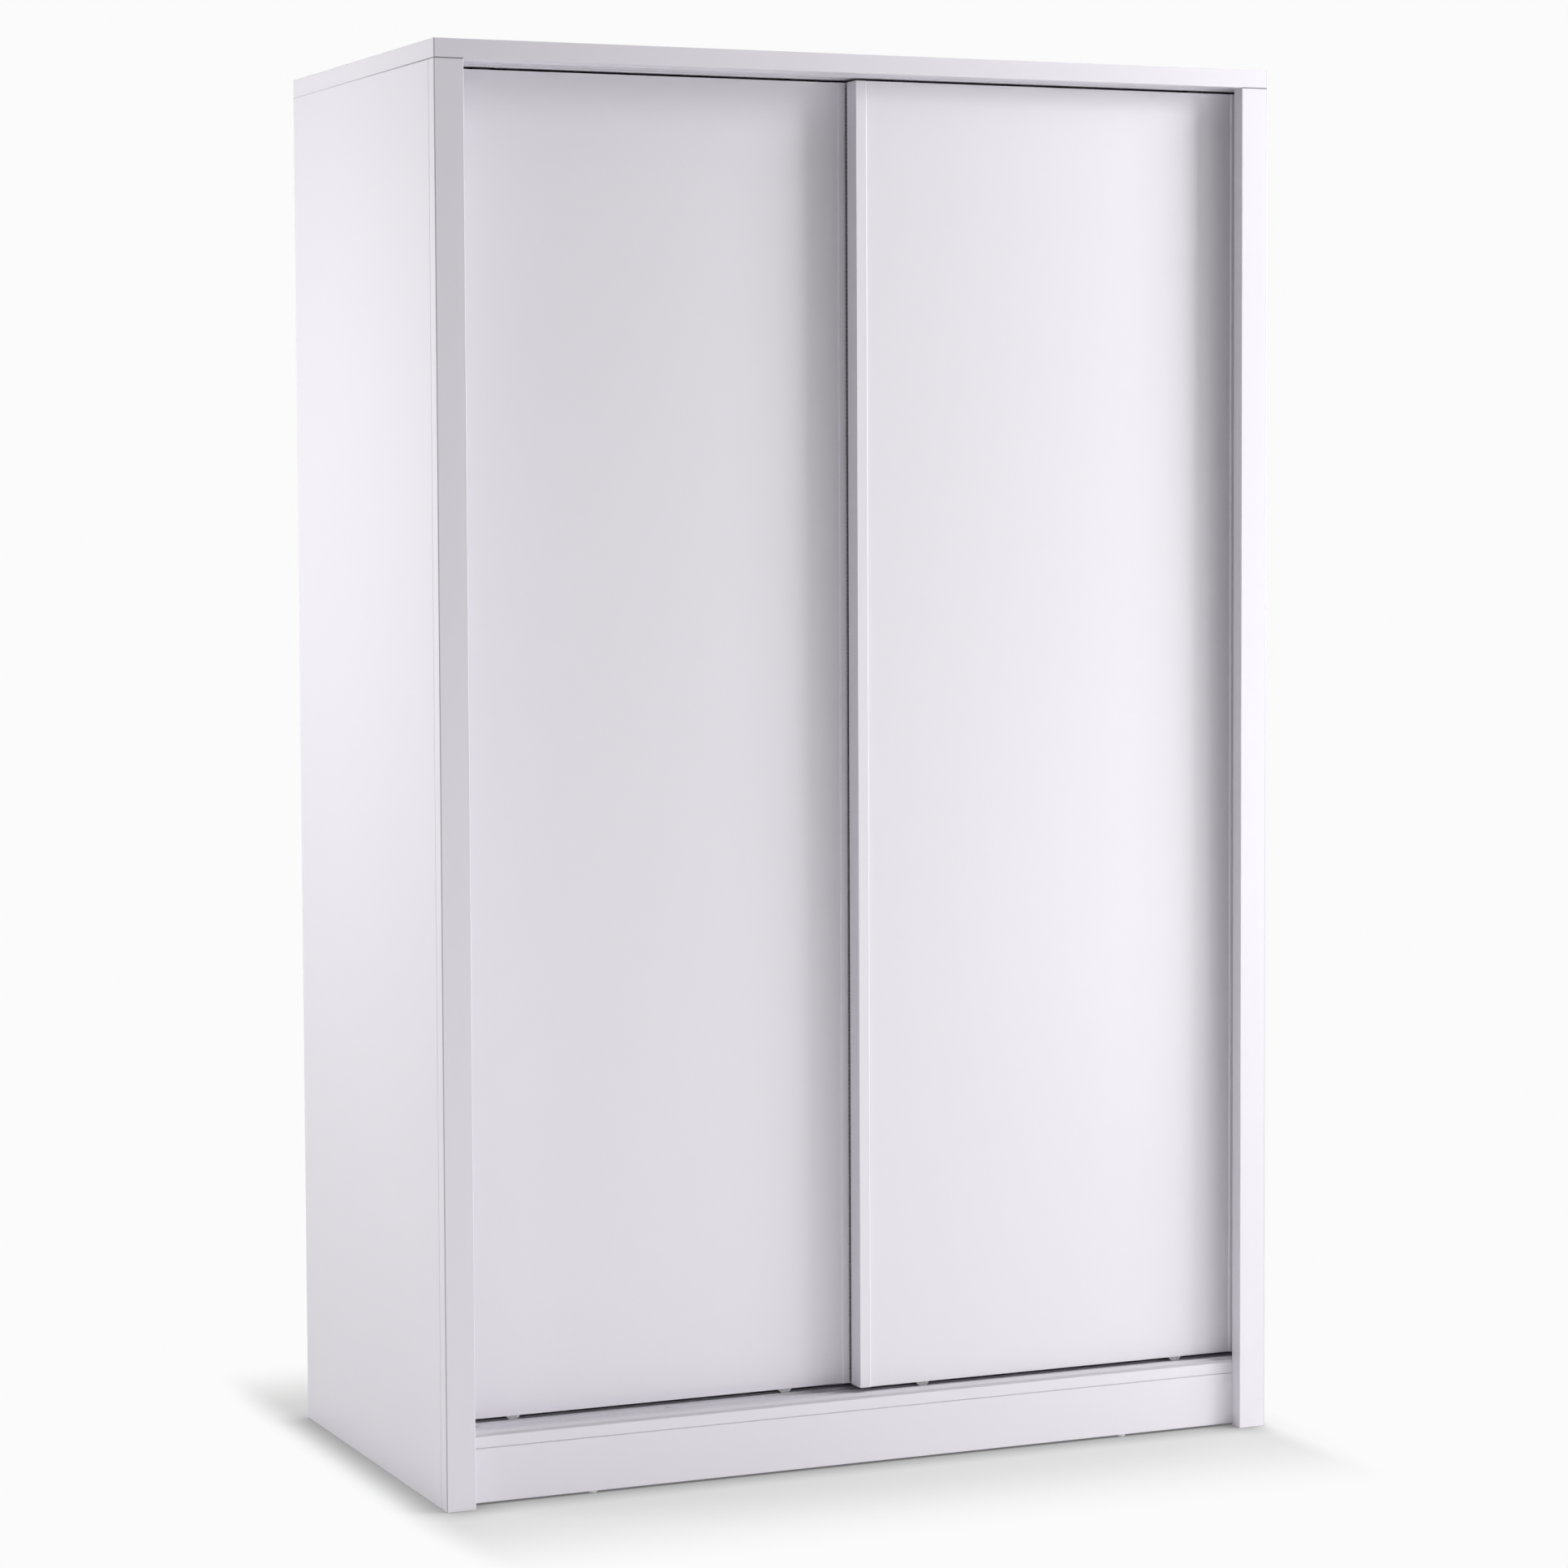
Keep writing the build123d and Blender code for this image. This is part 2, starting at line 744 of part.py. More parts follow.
def top_guide(x, y):
    """A block let into the panel's upper edge, with a long finger up into the rail."""
    outline = Rectangle(finger_length, finger_width)
    finger = chamfer(outline.vertices(), finger_bevel)
    foot = Pos(x, y + runner_setback, door_top)
    body = fitting_body(x, y, guide_width, guide_span)
    return body + extrude(foot * finger, top_under + finger_reach - door_top)


def brush_seal(x, y):
    """A strip of pile: rows of strands that splay from a backing in the profile's rear groove."""
    bottom = door_bottom + brush_end_gap
    top = door_top - brush_end_gap
    foot = y + door_depth
    edge = x + brush_inset
    backing = box((edge, edge + brush_width), (foot - brush_backing, foot), (bottom, top))
    root = brush_backing / 2
    strand = extrude(RegularPolygon(strand_radius, strand_sides), root + door_spacing - brush_clearance)
    steps = int((top - bottom) / strand_pitch)
    strands = []
    for row in range(strand_rows):
        share = (row + 0.5) / strand_rows
        lean = strand_splay * (1 - 2 * row / (strand_rows - 1))
        leaning = Rot(0, 0, lean) * Rot(-90, 0, 0) * strand
        for step in range(steps):
            height = bottom + strand_pitch * (step + share)
            strands.append(Pos(edge + brush_width * share, foot - root, height) * leaning)
    return backing.fuse(*strands)


def save_door(name, x, y, brush):
    """Every piece of one door."""
    save(f"{name}_panel", door_panel(x, y))
    save(f"{name}_left_profile", edge_profile(x, y, -1, brush))
    save(f"{name}_right_profile", edge_profile(x, y, 1, False))
    screws = []
    for side, roller, guide in zip(("left", "right"), roller_places, guide_places):
        save(f"{name}_{side}_roller_housing", roller_housing(x + roller, y))
        save(f"{name}_{side}_wheel", roller_wheel(x + roller, y))
        save(f"{name}_{side}_top_guide", top_guide(x + guide, y))
        screws += fitting_screws(x + roller, y, housing_width, housing_span)
        screws += fitting_screws(x + guide, y, guide_width, guide_span)
    save(f"{name}_axles", *[roller_axle(x + place, y) for place in roller_places])
    save(f"{name}_screws", *screws)


save_door("left_door", left_door_x, rear_door_face, False)
save_door("right_door", right_door_x, front_door_face, True)
save("brush_seal", brush_seal(right_door_x, front_door_face))
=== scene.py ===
import json
import math
import random

import bmesh
import bpy
from mathutils import Matrix, Vector


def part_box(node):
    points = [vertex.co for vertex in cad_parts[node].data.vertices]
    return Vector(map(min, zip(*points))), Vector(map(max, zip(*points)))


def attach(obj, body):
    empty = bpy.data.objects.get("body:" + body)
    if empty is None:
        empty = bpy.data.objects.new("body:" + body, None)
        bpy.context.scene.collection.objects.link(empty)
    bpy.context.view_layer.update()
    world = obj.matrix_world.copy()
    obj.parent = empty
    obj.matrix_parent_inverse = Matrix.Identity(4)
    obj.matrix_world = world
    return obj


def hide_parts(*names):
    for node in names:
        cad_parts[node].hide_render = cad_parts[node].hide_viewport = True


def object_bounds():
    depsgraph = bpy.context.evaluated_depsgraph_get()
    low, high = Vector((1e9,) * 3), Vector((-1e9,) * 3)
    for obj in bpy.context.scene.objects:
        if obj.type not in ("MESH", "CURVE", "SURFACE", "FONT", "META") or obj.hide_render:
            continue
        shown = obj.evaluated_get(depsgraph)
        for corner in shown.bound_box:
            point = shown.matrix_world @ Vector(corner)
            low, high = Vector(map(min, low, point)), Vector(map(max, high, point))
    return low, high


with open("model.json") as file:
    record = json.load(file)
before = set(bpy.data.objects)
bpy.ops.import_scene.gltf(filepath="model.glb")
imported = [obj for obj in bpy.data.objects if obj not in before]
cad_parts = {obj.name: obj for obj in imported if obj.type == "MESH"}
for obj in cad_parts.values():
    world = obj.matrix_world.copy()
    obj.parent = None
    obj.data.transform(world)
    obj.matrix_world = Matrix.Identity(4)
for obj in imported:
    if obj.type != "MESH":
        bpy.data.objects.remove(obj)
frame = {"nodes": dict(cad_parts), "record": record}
nodes = frame["nodes"]
cad_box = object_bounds()


# Carcass boards: top, sides, stiles, base, plinths, partition and shelves. They are chipboard with a
# white melamine face, edge banded and eased. Cams, bolts and dowels join them, and shelves lie loose.

class Tone:
    """One shader socket. Sums and products on it become Math nodes."""

    def __init__(self, tree, socket=None):
        self.tree = tree
        self.socket = socket

    def node(self, kind, settings=None, sockets=None, output=0):
        """Any other node: its settings come first, then the values or links of its sockets."""
        made = self.tree.nodes.new(kind)
        for name, value in (settings or {}).items():
            setattr(made, name, value)
        for name, value in (sockets or {}).items():
            if isinstance(value, Tone):
                self.tree.links.new(value.socket, made.inputs[name])
            else:
                made.inputs[name].default_value = value
        return Tone(self.tree, made.outputs[output])

    def maths(self, operation, first, second=0.0):
        return self.node("ShaderNodeMath", {"operation": operation}, {0: first, 1: second})

    def __add__(self, other):
        return self.maths("ADD", self, other)

    def __sub__(self, other):
        return self.maths("SUBTRACT", self, other)

    def __rsub__(self, other):
        return self.maths("SUBTRACT", other, self)

    def __mul__(self, other):
        return self.maths("MULTIPLY", self, other)

    def __truediv__(self, other):
        return self.maths("DIVIDE", self, other)

    def __pow__(self, other):
        return self.maths("POWER", self, other)

    def __lt__(self, other):
        return self.maths("LESS_THAN", self, other)

    def __gt__(self, other):
        return self.maths("GREATER_THAN", self, other)

    def __abs__(self):
        return self.maths("ABSOLUTE", self)

    __radd__ = __add__
    __rmul__ = __mul__

    def noise(self, scale, detail=2.0):
        """Cloudy values from 0 to 1 over these coordinates."""
        return self.node("ShaderNodeTexNoise", None, {"Vector": self, "Scale": scale, "Detail": detail})

    def stretched(self, scale):
        """These coordinates, stretched along each axis."""
        return self.node("ShaderNodeMapping", None, {"Vector": self, "Scale": scale})

    def along(self, axis):
        """One axis of these coordinates."""
        return self.node("ShaderNodeSeparateXYZ", None, {"Vector": self}, output=axis)

    def between(self, low, high):
        """A colour that goes from low to high as this value goes from 0 to 1."""
        return self.node("ShaderNodeMix", {"data_type": "RGBA"}, {0: self, 6: low, 7: high}, output=2)

    def bump(self, strength, distance):
        """A normal from this height."""
        sockets = {"Strength": strength, "Distance": distance, "Height": self}
        return self.node("ShaderNodeBump", None, sockets)


def new_finish(name, **fixed):
    """A material with fixed sockets, and the object coordinates that its pattern follows."""
    finish = bpy.data.materials.new(name)
    finish.use_nodes = True
    shader = finish.node_tree.nodes["Principled BSDF"]
    for socket, value in fixed.items():
        shader.inputs[socket.replace("_", " ")].default_value = value
    return finish, Tone(finish.node_tree).node("ShaderNodeTexCoord", output="Object")


def feed(finish, **tones):
    """Link what varies over the surface to the material's shader."""
    shader = finish.node_tree.nodes["Principled BSDF"]
    for socket, tone in tones.items():
        finish.node_tree.links.new(tone.socket, shader.inputs[socket.replace("_", " ")])


def dress(finish, slot):
    """Give a finish to every CAD node of one of the record's material slots."""
    for part in frame["record"]["subparts"]:
        if part["material_slot"] == slot:
            for place in nodes[part["node"]].material_slots:
                place.material = finish


melamine, coords = new_finish("white_melamine", IOR=1.5)
pores = coords.noise(1300, 1.0)
cloud = coords.noise(2.5)
across = abs(coords.along("X"))
deep = coords.along("Y")
height = coords.along("Z")
side_low, side_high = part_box("right_side_panel")
stile_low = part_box("right_front_stile")[0]
base_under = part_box("base_panel")[0].z
ease = 0.0008
corner_ease = 1.5 * ease
# Painted shade: thin dark lines in the seams where the top meets the sides and stiles, darker towards the
# front, where the stiles meet the sides and under the base's front edge, and a dark line down the outer front
# corners.
at_stile_back = abs(deep - side_low.y) < ease
outer_edge = (across > side_high.x - ease) + (deep < stile_low.y + ease)
under_top = (abs(height - side_high.z) < ease) * outer_edge * (across > stile_low.x)
behind_stile = at_stile_back * (across > side_high.x - ease) * (height < side_high.z)
under_base = (abs(height - base_under) < ease) * at_stile_back * (across < side_low.x)
front_corner = (across > side_high.x - corner_ease) * (deep < stile_low.y + corner_ease)
to_front = 0.5 - deep / (side_high.y - stile_low.y)
top_seam_shade = (0.2 + 0.65 * to_front ** 2) * under_top
painted_seam_shade = top_seam_shade + 0.2 * behind_stile + 0.3 * under_base + 0.55 * front_corner
white_face = cloud.between((0.79, 0.765, 0.822, 1), (0.815, 0.79, 0.842, 1))
feed(melamine,
     Base_Color=painted_seam_shade.between(white_face, (0.2, 0.195, 0.2, 1)),
     Roughness=0.30 + 0.12 * pores,
     Normal=pores.bump(0.04, 0.0002))
dress(melamine, "white_board")


# Cam locks: zinc discs with a cross recess, let into the sides, the partition and the base. Each one
# turns to draw in a threaded steel bolt that stands out of the next board.

def solids_of(node):
    """The middle and the size of every separate solid of a CAD node, in a steady order."""
    shape = bmesh.new()
    shape.from_mesh(nodes[node].data)
    bmesh.ops.remove_doubles(shape, verts=shape.verts, dist=1e-6)
    boxes = []
    waiting = set(shape.verts)
    while waiting:
        front = [waiting.pop()]
        points = []
        while front:
            vert = front.pop()
            points.append(vert.co.copy())
            near = {edge.other_vert(vert) for edge in vert.link_edges} & waiting
            waiting -= near
            front += near
        low = Vector(map(min, zip(*points)))
        high = Vector(map(max, zip(*points)))
        boxes.append(((low + high) / 2, high - low))
    shape.free()
    return sorted(boxes, key=lambda box: tuple(round(value, 5) for value in box[0]))


def turned(profile, steps=32):
    """A form turned on a lathe: points of radius and height, spun round Z."""
    shape = bmesh.new()
    points = [shape.verts.new((radius, 0, height)) for radius, height in profile]
    edges = [shape.edges.new(pair) for pair in zip(points, points[1:])]
    bmesh.ops.spin(shape, geom=points + edges, axis=(0, 0, 1), angle=math.tau, steps=steps, use_merge=True)
    bmesh.ops.remove_doubles(shape, verts=shape.verts, dist=1e-7)
    bmesh.ops.recalc_face_normals(shape, faces=shape.faces)
    return shape


def cut_cross(shape, reach, width, depth):
    """Sink a cross recess into the flat top of a turned head."""
    for across in (Vector((1, 0, 0)), Vector((0, 1, 0))):
        for side in (-1, 1):
            whole = shape.verts[:] + shape.edges[:] + shape.faces[:]
            bmesh.ops.bisect_plane(shape, geom=whole, plane_co=across * side * width / 2, plane_no=across)
    top = max(vert.co.z for vert in shape.verts)
    cross = []
    for face in shape.faces:
        middle = face.calc_center_median()
        narrow = min(abs(middle.x), abs(middle.y)) < width / 2
        if narrow and middle.z > top - 1e-6 and middle.xy.length < reach:
            cross.append(face)
    sunk = bmesh.ops.extrude_face_region(shape, geom=cross)["geom"]
    bmesh.ops.delete(shape, geom=cross, context="FACES")
    floor = [item for item in sunk if isinstance(item, bmesh.types.BMVert)]
    bmesh.ops.translate(shape, verts=floor, vec=(0, 0, -depth))


def facing(point, direction):
    """A place for a form: its foot at a point and its Z along a direction."""
    turn = Vector(direction).to_track_quat("Z", "Y").to_matrix().to_4x4()
    return Matrix.Translation(point) @ turn


def repeated(form, places):
    """One shape with a copy of a form at each place."""
    mesh = bpy.data.meshes.new("form")
    form.to_mesh(mesh)
    form.free()
    whole = bmesh.new()
    for place in places:
        copy = mesh.copy()
        copy.transform(place)
        whole.from_mesh(copy)
        bpy.data.meshes.remove(copy)
    bpy.data.meshes.remove(mesh)
    return whole


def add_piece(name, shape, finish, slot, body, *stands_for):
    """Link a finished shape as a piece that rides on a body and stands for CAD nodes."""
    mesh = bpy.data.meshes.new(name)
    shape.to_mesh(mesh)
    shape.free()
    mesh.materials.append(finish)
    mesh.shade_smooth()
    mesh.set_sharp_from_angle(angle=math.radians(35))
    piece = bpy.data.objects.new(name, mesh)
    bpy.context.scene.collection.objects.link(piece)
    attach(piece, body)
    if stands_for:
        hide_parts(*stands_for)
    return piece


zinc, coords = new_finish("zinc_plated_steel", Metallic=1.0)
spangle = coords.noise(420, 3.0)
feed(zinc,
     Base_Color=spangle.between((0.52, 0.53, 0.55, 1), (0.72, 0.72, 0.73, 1)),
     Roughness=0.26 + 0.22 * coords.noise(900, 1.0))
dress(zinc, "zinc_steel")

cam_radius = 0.0075
cam_height = 0.0125
cam_rim = 0.0008
cam_groove = cam_height - 0.0006
cam_recess = 0.0042
cam_form = turned([
    (0, 0), (cam_radius, 0), (cam_radius, cam_height - cam_rim), (cam_radius - cam_rim, cam_height),
    (0.0064, cam_height), (0.0061, cam_groove), (0.0056, cam_groove), (0.0053, cam_height),
    (cam_recess, cam_height), (0, cam_height)])
cut_cross(cam_form, cam_recess, width=0.0016, depth=0.003)
left_bay_middle = -0.3
cam_places = []
for middle, size in solids_of("cam_locks"):
    if size.z < size.x:
        mouth = Vector((0, 0, -1))
    else:
        mouth = Vector((1 if middle.x < left_bay_middle else -1, 0, 0))
    cam_places.append(facing(middle - mouth * cam_height / 2, mouth))
add_piece("cam_lock_discs", repeated(cam_form, cam_places), zinc, "zinc_steel", "carcass", "cam_locks")

bolt_thread = 0.011
bolt_pitch = 0.00125
bolt_turns = 8
bolt_profile = [(0, -bolt_thread), (0.0018, -bolt_thread)]
for ring in range(bolt_turns):
    bolt_profile.append((0.0025, -bolt_thread + bolt_pitch * (ring + 0.5)))
    bolt_profile.append((0.0019, -bolt_thread + bolt_pitch * (ring + 1)))
bolt_profile += [
    (0.0025, -0.0006), (0.0025, 0), (0.0035, 0), (0.0035, 0.026), (0.0022, 0.0275), (0.0022, 0.0305),
    (0.0034, 0.0315), (0.0034, 0.0332), (0.0026, 0.034), (0, 0.034)]
mid_height = 1.0
bolt_places = []
for middle, size in solids_of("cam_bolts"):
    if size.x > size.z:
        shank = Vector((-1 if middle.x > 0 else 1, 0, 0))
    else:
        shank = Vector((0, 0, -1 if middle.z > mid_height else 1))
    foot = middle - shank * (max(size) / 2 - bolt_thread)
    bolt_places.append(facing(foot, shank))
bolt_form = turned(bolt_profile, 20)
add_piece("cam_bolt_shanks", repeated(bolt_form, bolt_places), zinc, "zinc_steel", "carcass", "cam_bolts")


# Dowels: fluted beech pegs, glued half into the stiles and half into the front edges of the sides.
# The corner blocks under the base are of the same raw wood.

beech, coords = new_finish("raw_beech")
rays = coords.stretched((60, 60, 700)).noise(1.0, 4.0)
flecks = coords.stretched((900, 900, 140)).noise(1.0, 1.0)
feed(beech,
     Base_Color=(0.7 * rays + 0.3 * flecks).between((0.42, 0.26, 0.14, 1), (0.74, 0.56, 0.36, 1)),
     Roughness=0.55 + 0.2 * flecks,
     Normal=rays.bump(0.15, 0.0004))
dress(beech, "beech")

dowel_radius = 0.004
dowel_length = 0.030
dowel_flutes = 16
flute_depth = 0.07
dowel_form = bmesh.new()
bmesh.ops.create_cone(dowel_form, cap_ends=True, segments=2 * dowel_flutes, radius1=dowel_radius,
                      radius2=dowel_radius, depth=dowel_length)
for vert in dowel_form.verts:
    if round(math.atan2(vert.co.y, vert.co.x) * dowel_flutes / math.pi) % 2:
        vert.co.xy *= 1 - flute_depth
ends = [edge for edge in dowel_form.edges if abs(edge.verts[0].co.z - edge.verts[1].co.z) < 1e-6]
bmesh.ops.bevel(dowel_form, geom=ends, offset=0.0007, offset_type="OFFSET", segments=2, profile=0.5,
                affect="EDGES", material=-1)
dowel_places = [facing(middle, (0, 1, 0)) for middle, size in solids_of("stile_dowels")]
add_piece("fluted_dowels", repeated(dowel_form, dowel_places), beech, "beech", "carcass", "stile_dowels")


# Floor glides: small white plastic pads under the plinths and the brace, so that the boards stand clear
# of a damp floor. Each one is nailed through its middle.

plastic, coords = new_finish("white_plastic", IOR=1.46)
grain = coords.noise(2200, 1.0)
feed(plastic,
     Base_Color=coords.noise(35).between((0.74, 0.735, 0.75, 1), (0.80, 0.795, 0.81, 1)),
     Roughness=0.38 + 0.15 * grain,
     Normal=grain.bump(0.08, 0.0002))
dress(plastic, "white_plastic")

glide_form = turned([
    (0, 0), (0.0065, 0), (0.0065, 0.0021), (0.0062, 0.0027), (0.0056, 0.003), (0.0026, 0.003),
    (0.0023, 0.0022), (0.0021, 0.0022), (0.0019, 0.0024), (0, 0.0025)])
glide_places = [facing(middle + Vector((0, 0, size.z / 2)), (0, 0, -1))
                for middle, size in solids_of("floor_glides")]
add_piece("glide_pads", repeated(glide_form, glide_places), plastic, "white_plastic", "carcass",
          "floor_glides")


# Bottom track and upper rails: white coated aluminium extrusions. The track is screwed on the base, and
# the rails are pressed into grooves in the top panel. Wheels and guides polish the paths they run on.

coated, coords = new_finish("white_coated_track", IOR=1.5)
orange_peel = coords.noise(1700, 1.0)
streaks = coords.stretched((1.5, 350, 350)).noise(1.0, 1.0)
wheel_half = 0.0035
paths = 0
for name in ("left_door_left_wheel", "right_door_left_wheel"):
    low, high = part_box(name)
    paths = paths + (abs(coords.along("Y") - (low.y + high.y) / 2) < wheel_half)
worn = paths * streaks
feed(coated,
     Base_Color=worn.between((0.77, 0.746, 0.80, 1), (0.70, 0.685, 0.725, 1)),
     Roughness=0.34 + 0.1 * orange_peel - 0.12 * worn,
     Normal=orange_peel.bump(0.06, 0.0002))
dress(coated, "white_track")


def screw_form(head_radius, head, shank_radius, length, flush):
    """A cross-head wood screw, with its seat at height 0."""
    tip = -length
    pitch = 0.0011
    recess = head_radius * 0.55
    if flush:
        profile = [(0, 0), (recess, 0), (head_radius, 0), (shank_radius, -head)]
    else:
        profile = [(0, head), (recess, head), (head_radius * 0.8, head * 0.9),
                   (head_radius * 0.97, head * 0.45), (head_radius, 0), (shank_radius, 0)]
    height = profile[-1][1] - pitch
    while height > tip + 2 * pitch:
        profile += [(shank_radius * 0.7, height), (shank_radius, height - pitch / 2)]
        height -= pitch
    profile += [(shank_radius * 0.6, height), (0, tip)]
    form = turned(profile[::-1], 20)
    cut_cross(form, recess, width=head_radius * 0.22, depth=head * 0.55)
    return form


track_screw = screw_form(head_radius=0.0032, head=0.0018, shank_radius=0.0015, length=0.0113, flush=True)
track_screw_places = [facing(middle + Vector((0, 0, size.z / 2)), (0, 0, 1))
                      for middle, size in solids_of("track_screws")]
add_piece("track_screw_heads", repeated(track_screw, track_screw_places), zinc, "zinc_steel", "carcass",
          "track_screws")


# Back: two sheets of thin hardboard, painted white inside and raw outside, in a plastic joint strip.
# Panel pins hold them on the rear edges of the boards.

hardboard, coords = new_finish("hardboard")
low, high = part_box("left_back_panel")
raw_side = coords.along("Y") > (low.y + high.y) / 2
fibres = coords.stretched((320, 320, 120)).noise(1.0, 5.0)
raw_face = fibres.between((0.20, 0.115, 0.06, 1), (0.42, 0.27, 0.155, 1))
painted_face = coords.noise(4.0).between((0.76, 0.75, 0.76, 1), (0.80, 0.79, 0.80, 1))
mesh_print = 2200
weave = coords.maths("SINE", coords.along("X") * mesh_print)
weave = weave * coords.maths("SINE", coords.along("Z") * mesh_print)
feed(hardboard,
     Base_Color=raw_side.between(painted_face, raw_face),
     Roughness=0.45 + 0.35 * raw_side,
     Normal=(weave * raw_side + 0.4 * fibres).bump(0.25, 0.0003))
dress(hardboard, "hardboard")

nail_head = 0.0007
nail_form = turned([
    (0, -0.018), (0.0004, -0.0172), (0.0008, -0.0155), (0.0008, 0), (0.0026, 0), (0.0026, 0.0003),
    (0.0023, 0.0006), (0.0012, nail_head), (0, nail_head)], 20)
nail_places = [facing(middle + Vector((0, size.y / 2 - nail_head, 0)), (0, 1, 0))
               for middle, size in solids_of("back_nails")]
add_piece("panel_pins", repeated(nail_form, nail_places), zinc, "zinc_steel", "carcass", "back_nails")


# Wall brackets: bent zinc plated angles under the top panel. A pan head screw holds each one up, and
# the hole in its upright leaf takes a wall screw through the back.

bracket_head = 0.0018
bracket_screw = screw_form(head_radius=0.0032, head=bracket_head, shank_radius=0.0015, length=0.012,
                           flush=False)
bracket_screw_places = [facing(middle - Vector((0, 0, size.z / 2 - bracket_head)), (0, 0, -1))
                        for middle, size in solids_of("wall_bracket_screws")]
add_piece("bracket_pan_screws", repeated(bracket_screw, bracket_screw_places), zinc, "zinc_steel", "carcass",
          "wall_bracket_screws")


# Shelf pins: turned steel pegs, pushed by hand into bores in the uprights. The loose shelves lie on
# them and can be moved to other bores.

pin_form = turned([(0, 0), (0.0021, 0), (0.0025, 0.0004), (0.0025, 0.0155), (0.0021, 0.016), (0, 0.016)], 24)
pin_places = [facing(middle - Vector((size.x / 2, 0, 0)), (1, 0, 0))
              for middle, size in solids_of("shelf_pins")]
add_piece("shelf_pegs", repeated(pin_form, pin_places), zinc, "zinc_steel", "carcass", "shelf_pins")


# Hanging rail: a thin chromed steel tube across the left bay, under the hat shelf. It lies in two plastic
# end sockets, and two screws hold each socket on its upright.

chrome, coords = new_finish("chromed_steel", Metallic=1.0)
drawn = coords.stretched((4, 1600, 1600)).noise(1.0, 2.0)
feed(chrome,
     Base_Color=drawn.between((0.70, 0.71, 0.73, 1), (0.80, 0.81, 0.82, 1)),
     Roughness=0.06 + 0.08 * drawn)

low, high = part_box("hanging_rail")
rail_radius = (high.z - low.z) / 2
rail_wall = 0.0012
rail_bore = rail_radius - rail_wall
rail_length = high.x - low.x
rail_form = turned([
    (rail_bore, 0), (rail_radius, 0), (rail_radius, rail_length), (rail_bore, rail_length),
    (rail_bore, 0)], 64)
rail_middle = (low + high) / 2
rail_place = facing((low.x, rail_middle.y, rail_middle.z), (1, 0, 0))
add_piece("hanging_tube", repeated(rail_form, [rail_place]), chrome, "chrome_tube", "carcass", "hanging_rail")

socket_flange = 0.003
socket_screw_reach = 0.0188
socket_form = turned([
    (0, 0), (0.022, 0), (0.022, 0.002), (0.0214, 0.0027), (0.0205, socket_flange), (0.0166, socket_flange),
    (0.0158, 0.0036), (0.0156, 0.0045), (0.0156, 0.0163), (0.0152, 0.017), (0.0132, 0.017),
    (0.0126, 0.0164), (0.0126, socket_flange), (0, socket_flange)], 48)
socket_screw = screw_form(head_radius=0.0024, head=0.0012, shank_radius=0.0012, length=0.012, flush=False)
socket_places = []
socket_screw_places = []
for middle, size in solids_of("hanging_rail_sockets"):
    out = Vector((1 if middle.x < left_bay_middle else -1, 0, 0))
    foot = middle - out * size.x / 2
    socket_places.append(facing(foot, out))
    for side in (-1, 1):
        seat = foot + out * socket_flange + Vector((0, 0, side * socket_screw_reach))
        socket_screw_places.append(facing(seat, out))
add_piece("rail_sockets", repeated(socket_form, socket_places), plastic, "white_plastic", "carcass",
          "hanging_rail_sockets")
add_piece("rail_socket_screws", repeated(socket_screw, socket_screw_places), zinc, "zinc_steel", "carcass")


# Buffers: soft domes of clear rubber, which stop the doors without a knock. They are stuck on the inner
# faces of the sides, where the doors' edges meet them.

rubber, coords = new_finish("buffer_rubber", IOR=1.5)
haze = coords.noise(600)
feed(rubber,
     Base_Color=haze.between((0.55, 0.55, 0.56, 1), (0.66, 0.66, 0.67, 1)),
     Roughness=0.3 + 0.2 * haze,
     Normal=haze.bump(0.05, 0.0002))
buffer_form = turned([
    (0, 0), (0.006, 0), (0.0059, 0.0006), (0.0053, 0.0013), (0.0042, 0.0019), (0.0026, 0.0023), (0, 0.0025)])
buffer_places = []
for middle, size in solids_of("door_buffers"):
    inward = Vector((1 if middle.x < 0 else -1, 0, 0))
    buffer_places.append(facing(middle - inward * size.x / 2, inward))
add_piece("buffer_domes", repeated(buffer_form, buffer_places), rubber, "rubber", "carcass", "door_buffers")


# Door panels: boards with a high gloss white lacquer, one for each door. They are pocketed from behind
# for their fittings, and the edge profiles hold them on both sides.

gloss, coords = new_finish("white_gloss_lacquer", IOR=1.5, Coat_Roughness=0.16)
peel = coords.noise(260, 1.5)
cloud = coords.noise(1.6)
feed(gloss,
     Base_Color=cloud.between((0.80, 0.774, 0.827, 1), (0.825, 0.799, 0.85, 1)),
     Roughness=0.34 + 0.08 * peel,
     Coat_Weight=0.85 + 0.15 * cloud,
     Normal=peel.bump(0.01, 0.0002))
dress(gloss, "gloss_board")


# Edge profiles: white coated aluminium extrusions, as high as the door. One is pushed over each upright
# edge of a panel, where it also serves as a handle.

coat, coords = new_finish("white_coated_profile", IOR=1.5)
peel = coords.noise(1500, 1.0)
feed(coat,
     Base_Color=coords.noise(3.0).between((0.80, 0.775, 0.828, 1), (0.83, 0.805, 0.857, 1)),
     Roughness=0.32 + 0.1 * peel,
     Normal=peel.bump(0.05, 0.0002))
dress(coat, "white_profile")


# Roller housings: grey moulded forks, two at the lower edge of each panel. They sit in its pockets, screwed
# on by their flanges, and each one holds a steel axle pin.

grey, coords = new_finish("grey_moulding", IOR=1.46)
grain = coords.noise(1800, 1.0)
feed(grey,
     Base_Color=coords.noise(60).between((0.46, 0.46, 0.47, 1), (0.54, 0.54, 0.55, 1)),
     Roughness=0.42 + 0.15 * grain,
     Normal=grain.bump(0.1, 0.0002))
dress(grey, "grey_plastic")

